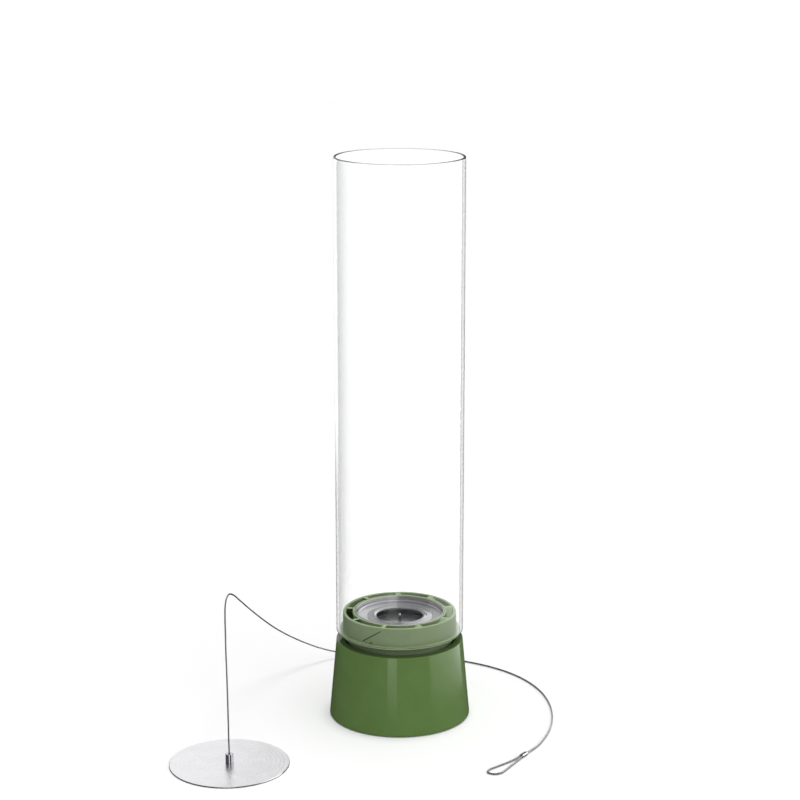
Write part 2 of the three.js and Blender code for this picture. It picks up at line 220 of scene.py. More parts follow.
# ---------- material nodes ----------

def new_material(name):
    material = bpy.data.materials.new(name)
    material.use_nodes = True
    return material, material.node_tree, material.node_tree.nodes["Principled BSDF"]


def add_node(tree, kind, inputs=(), **settings):
    """Adds a node, sets its properties, and sets or links each (input, value or socket)."""
    node = tree.nodes.new(kind)
    for name, value in settings.items():
        setattr(node, name, value)
    for name, value in dict(inputs).items():
        if isinstance(value, bpy.types.NodeSocket):
            tree.links.new(value, node.inputs[name])
        else:
            node.inputs[name].default_value = value
    return node


def place_coords(tree, stretch=(1, 1, 1)):
    """The point on the piece in metres, stretched along the axes."""
    coords = add_node(tree, "ShaderNodeTexCoord").outputs["Object"]
    mapping = add_node(tree, "ShaderNodeMapping", {"Vector": coords, "Scale": stretch})
    return mapping.outputs["Vector"]


def speckle(tree, coords, scale, detail=3.0, roughness=0.5):
    """Noise of about scale grains in a metre."""
    inputs = {"Vector": coords, "Scale": scale, "Detail": detail, "Roughness": roughness}
    return add_node(tree, "ShaderNodeTexNoise", inputs).outputs["Fac"]


def remap(tree, value, low, high, start=0.3, end=0.7):
    """Carries start..end of a value to low..high."""
    inputs = {"Value": value, "From Min": start, "From Max": end, "To Min": low, "To Max": high}
    return add_node(tree, "ShaderNodeMapRange", inputs).outputs["Result"]


def blend_colours(tree, factor, first, second):
    node = add_node(tree, "ShaderNodeMix", data_type="RGBA")
    tree.links.new(factor, node.inputs["Factor"])
    for index, value in ((6, first), (7, second)):
        if isinstance(value, bpy.types.NodeSocket):
            tree.links.new(value, node.inputs[index])
        else:
            node.inputs[index].default_value = value
    return node.outputs[2]


def bump(tree, height, distance, strength):
    inputs = {"Height": height, "Distance": distance, "Strength": strength}
    return add_node(tree, "ShaderNodeBump", inputs).outputs["Normal"]


def calculate(tree, operation, *values):
    node = add_node(tree, "ShaderNodeMath", operation=operation)
    for index, value in enumerate(values):
        if isinstance(value, bpy.types.NodeSocket):
            tree.links.new(value, node.inputs[index])
        else:
            node.inputs[index].default_value = value
    return node.outputs["Value"]


def turned_coords(tree, centre=(0, 0)):
    """(radius, 0, height) about a vertical axis, so that noise of it makes turned lines."""
    coords = add_node(tree, "ShaderNodeTexCoord").outputs["Object"]
    parts = add_node(tree, "ShaderNodeSeparateXYZ", {"Vector": coords}).outputs
    x = calculate(tree, "SUBTRACT", parts["X"], centre[0])
    y = calculate(tree, "SUBTRACT", parts["Y"], centre[1])
    x_square = calculate(tree, "MULTIPLY", x, x)
    y_square = calculate(tree, "MULTIPLY", y, y)
    radius = calculate(tree, "SQRT", calculate(tree, "ADD", x_square, y_square))
    return add_node(tree, "ShaderNodeCombineXYZ", {"X": radius, "Z": parts["Z"]}).outputs["Vector"]


def pointiness(tree, low, high):
    """0 up to a pointiness of low, such as in a groove, and 1 from high on, such as along an edge."""
    return remap(tree, add_node(tree, "ShaderNodeNewGeometry").outputs["Pointiness"], 0, 1, low, high)


def edge_wear(tree):
    """0 on flat ground and 1 along outer edges."""
    return pointiness(tree, 0.52, 0.6)


def show_mixed(tree, factor, first, second):
    """Makes the material's surface a mix of two shader nodes."""
    mix = add_node(tree, "ShaderNodeMixShader", {"Fac": factor})
    tree.links.new(first.outputs["BSDF"], mix.inputs[1])
    tree.links.new(second.outputs["BSDF"], mix.inputs[2])
    tree.links.new(mix.outputs["Shader"], tree.nodes["Material Output"].inputs["Surface"])


def srgb(red, green, blue):
    """A display colour of 0 to 255 as the linear colour that a shader takes."""
    def linear(value):
        part = value / 255
        return part / 12.92 if part <= 0.04045 else ((part + 0.055) / 1.055) ** 2.4
    return (linear(red), linear(green), linear(blue), 1.0)


def scaled(colour, share):
    """A linear colour made darker or lighter, no lighter than white."""
    return tuple(min(1.0, share * value) for value in colour[:3]) + (1.0,)


# ---------- materials ----------

def powder_coat(name, colour, light, dark, roughness, coat, gloss):
    """Sprayed and stoved paint: slight mottling, orange peel, and paler rubbed edges."""
    material, tree, shader = new_material(name)
    coords = place_coords(tree)
    mottled = blend_colours(tree, remap(tree, speckle(tree, coords, 55), 0, 1), dark, colour)
    grain = remap(tree, speckle(tree, coords, 2600, 2), 0, 0.35)
    grained = blend_colours(tree, grain, mottled, light)
    rubbed = calculate(tree, "MULTIPLY", edge_wear(tree), 0.45)
    tree.links.new(blend_colours(tree, rubbed, grained, light), shader.inputs["Base Color"])
    smear = speckle(tree, coords, 30, 5)
    tree.links.new(remap(tree, smear, roughness - 0.04, roughness + 0.05), shader.inputs["Roughness"])
    peel = speckle(tree, coords, 900, 2)
    tree.links.new(bump(tree, peel, 0.02 * MM, 0.5), shader.inputs["Normal"])
    shader.inputs["Coat Weight"].default_value = coat
    shader.inputs["Coat Roughness"].default_value = 0.025
    shader.inputs["Specular IOR Level"].default_value = gloss
    return material


def within_band(tree, value, low, high):
    """1 where low < value < high, else 0."""
    above = calculate(tree, "GREATER_THAN", value, low)
    return calculate(tree, "MULTIPLY", above, calculate(tree, "LESS_THAN", value, high))


def paint_shade_band(material, radii, heights, colour, low_part=1.0, high_part=1.0):
    """Painted shade between two radii and two heights. low_part and high_part are its share at these
    heights.
    """
    tree = material.node_tree
    base = tree.nodes["Principled BSDF"].inputs["Base Color"]
    parts = add_node(tree, "ShaderNodeSeparateXYZ", {"Vector": turned_coords(tree)}).outputs
    deep = within_band(tree, parts["X"], *radii)
    level = within_band(tree, parts["Z"], *heights)
    share = remap(tree, parts["Z"], low_part, high_part, *heights)
    # the painted shade mask: inside the radii and heights, scaled by its share
    painted_shade = calculate(tree, "MULTIPLY", calculate(tree, "MULTIPLY", deep, level), share)
    tree.links.new(blend_colours(tree, painted_shade, base.links[0].from_socket, colour), base)


def clear_glass(top):
    """Clear drawn glass with faint draw lines and painted shade at its upper rim. Lamps shine through
    it.
    """
    material, tree, shader = new_material("clear_glass")
    shader.inputs["Transmission Weight"].default_value = 1.0
    shader.inputs["IOR"].default_value = 1.47
    draw_lines = speckle(tree, place_coords(tree, (1, 1, 0.04)), 60, 1)
    haze = speckle(tree, place_coords(tree), 40, 4)
    tree.links.new(remap(tree, haze, 0.0, 0.002, 0.45, 0.8), shader.inputs["Roughness"])
    tree.links.new(bump(tree, draw_lines, 0.0002 * MM, 0.2), shader.inputs["Normal"])
    tint = blend_colours(tree, haze, (1, 1, 1, 1), (0.985, 0.995, 0.99, 1))
    height = add_node(tree, "ShaderNodeSeparateXYZ", {"Vector": place_coords(tree)}).outputs["Z"]
    # Painted shade: the top of the rim is tinted dark grey.
    rim_shade = remap(tree, height, 0.0, 1.0, top - 1.1 * MM, top - 0.7 * MM)
    tree.links.new(blend_colours(tree, rim_shade, tint, (0.42, 0.44, 0.43, 1)), shader.inputs["Base Color"])
    shadow = add_node(tree, "ShaderNodeLightPath").outputs["Is Shadow Ray"]
    passing = add_node(tree, "ShaderNodeBsdfTransparent", {"Color": (0.985, 0.99, 0.985, 1)})
    show_mixed(tree, shadow, shader, passing)
    return material


def turned_metal(name, colour, roughness, line_scale, depth, anisotropic, centre=(0, 0)):
    """Metal with turned lines about a vertical axis and slight staining."""
    material, tree, shader = new_material(name)
    shader.inputs["Metallic"].default_value = 1.0
    shader.inputs["Anisotropic"].default_value = anisotropic
    shader.inputs["Anisotropic Rotation"].default_value = 0.25
    tangent = add_node(tree, "ShaderNodeTangent", direction_type="RADIAL", axis="Z")
    tree.links.new(tangent.outputs["Tangent"], shader.inputs["Tangent"])
    lines = speckle(tree, turned_coords(tree, centre), line_scale, 3, 0.6)
    stain = speckle(tree, place_coords(tree), 70, 4)
    tinted = blend_colours(tree, remap(tree, lines, 0, 1), scaled(colour, 0.86), colour)
    stained = blend_colours(tree, remap(tree, stain, 0, 0.5), tinted, scaled(colour, 0.93))
    tree.links.new(stained, shader.inputs["Base Color"])
    uneven = calculate(tree, "ADD", remap(tree, lines, -0.03, 0.05), remap(tree, stain, -0.02, 0.04))
    tree.links.new(calculate(tree, "ADD", uneven, roughness), shader.inputs["Roughness"])
    tree.links.new(bump(tree, lines, depth, 0.6), shader.inputs["Normal"])
    return material


def plain_metal(name, colour, roughness, scratch_scale=500, depth=0.01 * MM, metallic=1.0):
    """Drawn or plated metal: fine scratches, soft stains, brighter rubbed edges."""
    material, tree, shader = new_material(name)
    shader.inputs["Metallic"].default_value = metallic
    scratches = speckle(tree, place_coords(tree, (1, 1, 0.15)), scratch_scale, 4, 0.65)
    stain = speckle(tree, place_coords(tree), 120, 3)
    tinted = blend_colours(tree, remap(tree, stain, 0, 1), scaled(colour, 0.8), colour)
    rubbed = calculate(tree, "MULTIPLY", edge_wear(tree), 0.6)
    worn = blend_colours(tree, rubbed, tinted, scaled(colour, 1.15))
    tree.links.new(worn, shader.inputs["Base Color"])
    tree.links.new(remap(tree, scratches, 0.75 * roughness, 1.4 * roughness), shader.inputs["Roughness"])
    tree.links.new(bump(tree, scratches, depth, 0.5), shader.inputs["Normal"])
    return material


def rope_steel():
    """Stranded steel: fine wires across each strand's twist, with painted shade in the grooves."""
    material, tree, shader = new_material("rope_steel")
    shader.inputs["Metallic"].default_value = 1.0
    wires = speckle(tree, place_coords(tree), 3200, 2)
    grime = speckle(tree, place_coords(tree), 160, 3)
    strand = blend_colours(tree, remap(tree, wires, 0, 1), srgb(140, 140, 142), srgb(208, 208, 210))
    # Painted shade in the grooves between the strands.
    shaded = blend_colours(tree, pointiness(tree, 0.44, 0.54), srgb(84, 84, 86), strand)
    stained = blend_colours(tree, remap(tree, grime, 0, 0.3), shaded, srgb(110, 109, 108))
    tree.links.new(stained, shader.inputs["Base Color"])
    tree.links.new(remap(tree, wires, 0.25, 0.42), shader.inputs["Roughness"])
    tree.links.new(bump(tree, wires, 0.03 * MM, 0.6), shader.inputs["Normal"])
    return material


def fibres(name, light, dark, scale):
    """Felt or mineral wool: tangled fibres with a soft, uneven nap."""
    material, tree, shader = new_material(name)
    coords = place_coords(tree)
    tangle = speckle(tree, coords, scale, 8, 0.75)
    clumps = speckle(tree, coords, scale / 12, 4)
    mixed = calculate(tree, "MULTIPLY", remap(tree, tangle, 0, 1), remap(tree, clumps, 0.6, 1))
    tree.links.new(blend_colours(tree, mixed, dark, light), shader.inputs["Base Color"])
    tree.links.new(remap(tree, tangle, 0.85, 1.0), shader.inputs["Roughness"])
    tree.links.new(bump(tree, tangle, 0.3 * MM, 0.8), shader.inputs["Normal"])
    shader.inputs["Sheen Weight"].default_value = 0.3
    shader.inputs["Sheen Roughness"].default_value = 0.5
    return material


# ---------- rope ----------

# The rope's route, as the CAD's: up out of the ferrule, over, down behind the base, round on the table.
ROPE_ROUTE = [
    (-0.1535, -0.1264, 0.0100), (-0.1536, -0.1262, 0.0160), (-0.1539, -0.1248, 0.0240),
    (-0.1542, -0.1215, 0.0340), (-0.1548, -0.1160, 0.0480), (-0.1558, -0.1065, 0.0640),
    (-0.1570, -0.0960, 0.0795), (-0.1582, -0.0860, 0.0913), (-0.1595, -0.0720, 0.1036),
    (-0.1610, -0.0560, 0.1130), (-0.1622, -0.0380, 0.1187), (-0.1623, -0.0200, 0.1205),
    (-0.1612, -0.0020, 0.1184), (-0.1586, 0.0160, 0.1112), (-0.1536, 0.0340, 0.0992),
    (-0.1463, 0.0510, 0.0853), (-0.1362, 0.0690, 0.0692), (-0.1245, 0.0870, 0.0530),
    (-0.1110, 0.1040, 0.0383), (-0.0955, 0.1195, 0.0250), (-0.0797, 0.1325, 0.0142),
    (-0.0660, 0.1415, 0.0074), (-0.0480, 0.1495, 0.0026), (-0.0280, 0.1540, 0.0011),
    (-0.0040, 0.1550, 0.0010), (0.0220, 0.1505, 0.0010), (0.0460, 0.1415, 0.0010),
    (0.0665, 0.1305, 0.0010), (0.0890, 0.1170, 0.0010), (0.1095, 0.0990, 0.0010),
    (0.1260, 0.0765, 0.0010), (0.1390, 0.0460, 0.0010), (0.1453, 0.0110, 0.0010),
    (0.1447, -0.0265, 0.0010), (0.1390, -0.0557, 0.0010), (0.1286, -0.0845, 0.0011),
    (0.1213, -0.0976, 0.0014), (0.1157, -0.1060, 0.0017),
]
# The hand loop, from the crimped sleeve round its tip and back beside itself.
LOOP_ROUTE = [
    (0.1095, -0.1130, 0.0017), (0.1056, -0.1176, 0.0013), (0.1002, -0.1232, 0.0010),
    (0.0934, -0.1296, 0.0010), (0.0854, -0.1368, 0.0010), (0.0804, -0.1418, 0.0010),
    (0.0786, -0.1464, 0.0010), (0.0812, -0.1504, 0.0010), (0.0866, -0.1512, 0.0010),
    (0.0912, -0.1482, 0.0010), (0.0954, -0.1418, 0.0010), (0.1010, -0.1318, 0.0010),
    (0.1064, -0.1224, 0.0011), (0.1092, -0.1175, 0.0014), (0.1112, -0.1141, 0.0017),
]
ROPE_START = (-0.1535, -0.1264, 0.0086)  # held inside the ferrule
LOOP_END = (0.1126, -0.1121, 0.0017)  # held inside the crimped sleeve
ROPE_DIAMETER = 1.5 * MM
ROPE_STEP = 0.7 * MM
ROPE_LAY = 9.5 * MM  # one turn of a strand
STRANDS = 6
STRAND_POINTS = 5  # points across one strand
CURVE_STEPS = 24  # between two route points


def smooth_path(points, step):
    """A centripetal Catmull-Rom curve through the points, in equal steps."""
    points = [Vector(p) for p in points]
    points = [2 * points[0] - points[1]] + points + [2 * points[-1] - points[-2]]
    fine = []
    for p0, p1, p2, p3 in zip(points, points[1:], points[2:], points[3:]):
        t1 = (p1 - p0).length ** 0.5
        t2 = t1 + (p2 - p1).length ** 0.5
        t3 = t2 + (p3 - p2).length ** 0.5
        for k in range(CURVE_STEPS):
            t = t1 + (t2 - t1) * k / CURVE_STEPS
            a1 = p0.lerp(p1, t / t1)
            a2 = p1.lerp(p2, (t - t1) / (t2 - t1))
            a3 = p2.lerp(p3, (t - t2) / (t3 - t2))
            b1 = a1.lerp(a2, t / t2)
            b2 = a2.lerp(a3, (t - t1) / (t3 - t1))
            fine.append(b1.lerp(b2, (t - t1) / (t2 - t1)))
    fine.append(points[-2])
    return even_steps(fine, step)


def even_steps(fine, step):
    """Points at equal distances of about step along a finely divided line."""
    length = sum((b - a).length for a, b in zip(fine, fine[1:]))
    count = round(length / step)
    path = [fine[0]]
    travelled = 0.0
    for a, b in zip(fine, fine[1:]):
        run = (b - a).length
        while len(path) < count and travelled + run >= len(path) * length / count:
            path.append(a.lerp(b, (len(path) * length / count - travelled) / run))
        travelled += run
    path.append(fine[-1])
    return path


def strand_section(radius):
    """The outline of six round strands laid about a core."""
    strand = radius / 3
    offset = radius - strand
    section = []
    count = STRANDS * STRAND_POINTS
    for k in range(count):
        angle = 2 * math.pi * k / count
        off = (angle * STRANDS / (2 * math.pi) % 1 - 0.5) * 2 * math.pi / STRANDS
        reach = offset * math.cos(off) + math.sqrt(max(0, strand ** 2 - (offset * math.sin(off)) ** 2))
        section.append((reach * math.cos(angle), reach * math.sin(angle)))
    return section


def make_rope(crimp):
    path = smooth_path([ROPE_START] + ROPE_ROUTE + LOOP_ROUTE + [LOOP_END], ROPE_STEP)
    rope = sweep("rope", path, strand_section(ROPE_DIAMETER / 2), 2 * math.pi / ROPE_LAY)
    place(rope, "snuffer", ["wire_rope", "rope_loop"], rope_steel())


def make_crimp():
    """A flattened sleeve pressed on the two rope ends, with two waists from the pressing tool."""
    low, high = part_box("loop_crimp")
    centre = (low + high) / 2
    heading = math.radians(235)
    along = Vector((math.cos(heading), math.sin(heading), 0))
    across = Vector((-along.y, along.x, 0))
    half_length = 4.3 * MM
    half_width = 2.0 * MM
    half_height = 1.5 * MM
    rounded_end = 0.45 * MM
    waist_place = 0.38  # of half the length
    waist_reach = 0.18
    waist_depth = 0.1
    squareness = 0.72  # 1 is round
    steps = 40
    around = 32
    vertices = []
    for i in range(steps + 1):
        part = 2 * i / steps - 1
        end = min(1.0, (1 - abs(part)) * half_length / rounded_end)
        rounding = 1 - 0.14 * (1 - math.sqrt(1 - (1 - end) ** 2))
        off_waist = abs(abs(part) - waist_place)
        pressed = math.cos(math.pi * off_waist / (2 * waist_reach)) if off_waist < waist_reach else 0.0
        width = half_width * rounding
        height = half_height * rounding * (1 - waist_depth * pressed)
        middle = centre + along * part * half_length
        for k in range(around):
            angle = 2 * math.pi * k / around
            x = math.copysign(abs(math.cos(angle)) ** squareness, math.cos(angle))
            z = math.copysign(abs(math.sin(angle)) ** squareness, math.sin(angle))
            vertices.append(middle + across * x * width + Vector((0, 0, z * height)))
    crimp = new_piece("crimp", vertices, tube_faces(steps + 1, around))
    metal = plain_metal("crimp_steel", srgb(205, 205, 208), 0.24)
    return place(crimp, "snuffer", ["loop_crimp"], metal)


# ---------- base ----------

def make_base():
    """The conical casting: a land round its mouth, a shelf for the can and four bosses for the plate."""
    foot, bottom, top = turned_size("base_shell")
    rim = top - 0.6 * MM  # the land falls outwards
    crown = 59.9 * MM
    wall = 3.2 * MM
    bore = 53.2 * MM
    throat = 43.2 * MM
    shelf_top = 61.5 * MM
    shelf_bottom = shelf_top - 4 * MM
    plate = 54.5 * MM
    plate_seat = 4.2 * MM
    plate_shelf = 8.4 * MM
    pad = 62 * MM

    def inside(height):
        return foot + (crown - foot) * (height - bottom) / (rim - bottom) - wall

    base = lathe("base", filleted([
        (foot, bottom, 0.7 * MM),
        (crown, rim, 0.6 * MM),
        (bore, top, 0.5 * MM),
        (bore, shelf_top, 0.8 * MM),
        (throat, shelf_top, 0.6 * MM),
        (throat, shelf_bottom, 0.6 * MM),
        (inside(shelf_bottom), shelf_bottom, 1.5 * MM),
        (inside(plate_shelf), plate_shelf, 1.5 * MM),
        (plate, plate_shelf, 0.5 * MM),
        (plate, plate_seat, 0.5 * MM),
        (pad, plate_seat, 0.5 * MM),
        (pad, bottom, 0.4 * MM),
    ]))
    for index in range(1, 5):
        screw_low, screw_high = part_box(f"base_screw_{index}")
        middle = (screw_low + screw_high) / 2
        combine(base, post("boss", middle, 4.5 * MM, plate_seat + 1 * MM, 18 * MM), "UNION")
        combine(base, post("hole", middle, 2.1 * MM, 3 * MM, 16 * MM), "DIFFERENCE")
    colours = srgb(92, 120, 65), srgb(103, 132, 76), srgb(88, 115, 61)
    green = powder_coat("green_paint", *colours, 0.5, 0.6, 0.05)
    place(base, "base", ["base_shell"], green)


def post(name, middle, radius, bottom, top):
    """An upright round bar at a point."""
    outline = [(0, bottom), (radius, bottom), (radius, top), (0, top)]
    bar = lathe(name, outline, SMALL_ROUND, closed=False)
    bar.data.transform(Matrix.Translation((middle.x, middle.y, 0)))
    return bar


# ---------- swirl ring ----------

VANES = 9
FIRST_VANE = math.radians(12.7)
VANE_WIDTH = math.radians(4.8)
VANE_SWEEP = math.radians(28.9)
VANE_DROP = 18 * MM
SLAB_STEPS = 12
ENGRAVED_LINES = [  # start and end, both (degrees, height in mm)
    ((-129.8, 85.4), (-108.9, 98.3)),
    ((-121.4, 84.35), (-118.2, 86.2)),
]
LINE_HEIGHT = 1.1 * MM
LINE_DEPTH = 1.5 * MM


def slanted_slab(name, start, end, width, height, inner, outer, edge=0.0):
    """A slab between two radii that runs from start to end, both (angle, height), straight down a slope.
    width is its size in radians, height its size upward. Its level ends have edges rounded by edge."""
    rounds = []
    if edge:
        for part in (0, 0.13, 0.5, 1):
            rounds.append((part * edge, edge * (1 - math.sqrt(1 - (1 - part) ** 2))))
    drop = abs(end[1] - start[1])
    between = range(1, SLAB_STEPS) if edge else range(SLAB_STEPS + 1)
    stations = [(down / drop, inset) for down, inset in rounds]
    stations += [(k / SLAB_STEPS, 0.0) for k in between]
    stations += [(1 - down / drop, inset) for down, inset in reversed(rounds)]
    vertices = []
    for along, inset in stations:
        angle = start[0] + (end[0] - start[0]) * along
        level = start[1] + (end[1] - start[1]) * along
        pinch = inset / (0.5 * (inner + outer))
        near = (angle + pinch, level)
        far = (angle + width - pinch, level + height)
        for radius, (turn, z) in ((inner, near), (inner, far), (outer, far), (outer, near)):
            vertices.append((radius * math.cos(turn), radius * math.sin(turn), z))
    return new_piece(name, vertices, tube_faces(len(stations), 4))


def make_vanes(top, inner, outer):
    """The nine slanted vanes as one mesh."""
    vanes = []
    for index in range(VANES):
        angle = FIRST_VANE + index * 2 * math.pi / VANES - VANE_WIDTH / 2
        start = (angle, top)
        end = (angle - VANE_SWEEP, top - VANE_DROP)
        vanes.append(slanted_slab("vane", start, end, VANE_WIDTH, 0, inner, outer, 0.45 * MM))
    return join(vanes)


def make_ring():
    """One casting: outer wall with the glass's flange and the skirt below it, vanes and inner collar."""
    flange, bottom, top = turned_size("swirl_ring")
    flange_top = 84.4 * MM
    flange_bottom = flange_top - 1.1 * MM
    wall_outer = 53.7 * MM
    wall_inner = 50.9 * MM
    skirt_outer = 50.5 * MM
    skirt_inner = 48.2 * MM
    skirt_bottom = 73.8 * MM
    collar_outer = 44.5 * MM
    collar_inner = 42.45 * MM
    ring = lathe("air_ring", filleted([
        (skirt_outer, skirt_bottom, 0.5 * MM),
        (skirt_outer, flange_bottom, 0.9 * MM),
        (flange, flange_bottom, 0.35 * MM),
        (flange, flange_top, 0.45 * MM),
        (wall_outer, flange_top, 0.7 * MM),
        (wall_outer, top, 0.5 * MM),
        (wall_inner, top, 0.5 * MM),
        (wall_inner, flange_top + 2.9 * MM, 1.5 * MM),
        (skirt_inner, flange_top - 1.4 * MM, 1.5 * MM),
        (skirt_inner, skirt_bottom, 0.5 * MM),
    ]))
    collar = lathe("collar", filleted([
        (collar_outer, bottom, 0.4 * MM),
        (collar_outer, top, 0.4 * MM),
        (collar_inner, top, 0.4 * MM),
        (collar_inner, bottom, 0.4 * MM),
    ]))
    overlap = 0.6 * MM
    flush = top - 0.12 * MM  # just below the rounded rims
    vanes = make_vanes(flush, collar_outer - overlap, wall_inner + overlap)
    combine(vanes, collar, "UNION")
    combine(ring, vanes, "UNION")
    for ends in ENGRAVED_LINES:
        first, last = [(math.radians(angle), height * MM) for angle, height in ends]
        reach = (wall_outer - LINE_DEPTH, wall_outer + 2 * MM)
        combine(ring, slanted_slab("groove", first, last, 0, LINE_HEIGHT, *reach), "DIFFERENCE")
    colours = srgb(153, 172, 133), srgb(165, 182, 147), srgb(148, 166, 127)
    sage = powder_coat("sage_paint", *colours, 0.45, 0.1, 0.15)
    engraving = (wall_inner + 0.4 * MM, wall_outer - 0.2 * MM)
    # Painted shade in the engraved grooves.
    paint_shade_band(sage, engraving, (flange_top + 0.5 * MM, top - 2 * MM), srgb(60, 72, 50))
    # Painted shade on the skirt under the flange, strongest at its top.
    skirt = (skirt_inner - 0.2 * MM, flange + 1 * MM)
    skirt_heights = (skirt_bottom - 1 * MM, flange_bottom + 0.2 * MM)
    paint_shade_band(sage, skirt, skirt_heights, srgb(62, 78, 51), 0.2, 1.0)
    place(ring, "swirl_ring", ["swirl_ring"], sage)


# ---------- glass ----------

def make_glass():
    outer, bottom, top = turned_size("glass_tube")
    inner = outer - 2.3 * MM
    foot = bottom - 0.25 * MM  # down on the flange
    foot_edge = 0.5 * MM
    rim_edge = 1.0 * MM  # fire-polished
    chimney = lathe("chimney", filleted([
        (outer, foot, foot_edge),
        (outer, top, rim_edge),
        (inner, top, rim_edge),
        (inner, foot, foot_edge),
    ]), GLASS_ROUND)
    place(chimney, "glass", ["glass_tube"], clear_glass(top))


# ---------- burner ----------

def make_can():
    """A drawn steel can with a waist under its mouth, a ledge for the mesh and a rolled rim."""
    rim, bottom, top = turned_size("burner_can")
    outer = 41.2 * MM
    wall = 0.7 * MM
    inner = outer - wall
    mouth = 41.0 * MM
    ledge = 96.3 * MM
    neck = 39.6 * MM
    can = lathe("can", filleted([
        (0, bottom),
        (outer, bottom, 2.4 * MM),
        (outer, ledge - 3.2 * MM, 0.8 * MM),
        (neck + wall, ledge - 2 * MM, 0.5 * MM),
        (neck + wall, ledge - 0.8 * MM, 0.4 * MM),
        (mouth + wall, ledge - 0.2 * MM, 0.3 * MM),
        (mouth + wall, top - 2.4 * MM, 0.3 * MM),
        (rim, top - 2.1 * MM, 0.3 * MM),
        (rim, top, 0.52 * MM),
        (mouth, top, 0.52 * MM),
        (mouth, ledge, 0.3 * MM),
        (neck, ledge - 0.6 * MM, 0.3 * MM),
        (neck, ledge - 1.9 * MM, 0.4 * MM),
        (inner, ledge - 3.3 * MM, 0.8 * MM),
        (inner, bottom + wall, 1.7 * MM),
        (0, bottom + wall),
    ]), closed=False)
    metal = turned_metal("can_steel", srgb(200, 200, 202), 0.12, 2200, 0.003 * MM, 0.5)
    place(can, "burner", ["burner_can"], metal)


def make_wool():
    """A round pad with an uneven top and a dimple for the stem's nut."""
    radius, bottom, top = turned_size("wool_pad")
    corner = 2.4 * MM
    upper_edge = 0.5 * MM
    dimple = 5.2 * MM
    dimple_depth = 8 * MM
    outline = [
        (0, bottom),
        (radius - corner, bottom),
        (radius, bottom + corner),
        (radius, top - 0.6 * MM),
    ]
    rng = random.Random(11)
    steps = 40
    for k in range(steps + 1):
        part = 1 - k / steps
        dip = dimple_depth if part * radius < dimple else 0
        outline.append((part * (radius - upper_edge), top - dip - rng.uniform(0, 0.5) * MM))
    wool = lathe("wool", outline, 96, closed=False)
    material = fibres("fuel_wool", srgb(150, 147, 138), srgb(70, 68, 63), 900)
    place(wool, "burner", ["wool_pad"], material)


def make_mesh():
    """A disc of plain woven wire in a folded rim."""
    rim, bottom, top = turned_size("mesh_disc")
    middle = (bottom + top) / 2
    pitch = 1.8 * MM
    wire = 0.34 * MM
    reach = rim - 0.7 * MM
    rim_width = 1.6 * MM
    count = int(reach / pitch)
    corners = [k * math.pi / 3 for k in range(6)]
    section = [(wire * math.cos(angle), wire * math.sin(angle)) for angle in corners]
    wires = []
    for across in (False, True):
        for row in range(-count, count + 1):
            offset = (row + 0.5) * pitch
            if abs(offset) > reach - pitch:
                continue
            half = math.sqrt(reach ** 2 - offset ** 2)
            steps = max(4, round(2 * half / (pitch / 4)))
            path = []
            for k in range(steps + 1):
                along = -half + 2 * half * k / steps
                wave = math.cos(math.pi * along / pitch + math.pi * row) * wire * 0.9
                if across:
                    path.append(Vector((offset, along, middle + wave)))
                else:
                    path.append(Vector((along, offset, middle - wave)))
            wires.append(sweep("wire", path, section))
    woven = join(wires)
    woven.name = "woven_mesh"
    edge = lathe("mesh_rim", filleted([
        (rim - rim_width, bottom, 0.3 * MM),
        (rim, bottom, 0.55 * MM),
        (rim, top, 0.55 * MM),
        (rim - rim_width, top, 0.3 * MM),
    ]), 144)
    metal = plain_metal("mesh_steel", srgb(226, 226, 228), 0.45, 1400, 0.02 * MM, 0.3)
    place(woven, "burner", ["mesh_disc"], metal)
    place(edge, "burner", ["mesh_disc"], metal)


def make_stem():
    """A thin post with a collar that lies on the mesh, and the small ball on its tip."""
    low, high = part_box("stem")
    ball_low, ball_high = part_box("stem_ball")
    radius = 1.15 * MM
    collar = high.x
    collar_bottom = 84.8 * MM
    collar_top = collar_bottom + 1 * MM
    tip = high.z + 0.8 * MM  # held inside the ball
    metal = plain_metal("stem_steel", srgb(190, 190, 193), 0.14)
    rod = lathe("stem_rod", filleted([
        (0, low.z),
        (radius, low.z, 0.3 * MM),
        (radius, collar_bottom),
        (collar, collar_bottom, 0.2 * MM),
        (collar, collar_top, 0.3 * MM),
        (radius, collar_top, 0.2 * MM),
        (radius, tip),
        (0, tip),
    ]), SMALL_ROUND, closed=False)
    place(rod, "burner", ["stem"], metal)
    ball_radius = (ball_high.z - ball_low.z) / 2
    centre = (ball_high.z + ball_low.z) / 2
    steps = SMALL_ROUND // 2
    outline = []
    for k in range(steps + 1):
        angle = math.pi * (k / steps - 0.5)
        across = ball_radius * math.cos(angle) if 0 < k < steps else 0
        outline.append((across, centre + ball_radius * math.sin(angle)))
    ball = lathe("ball", outline, SMALL_ROUND, closed=False)
    place(ball, "burner", ["stem_ball"], metal)


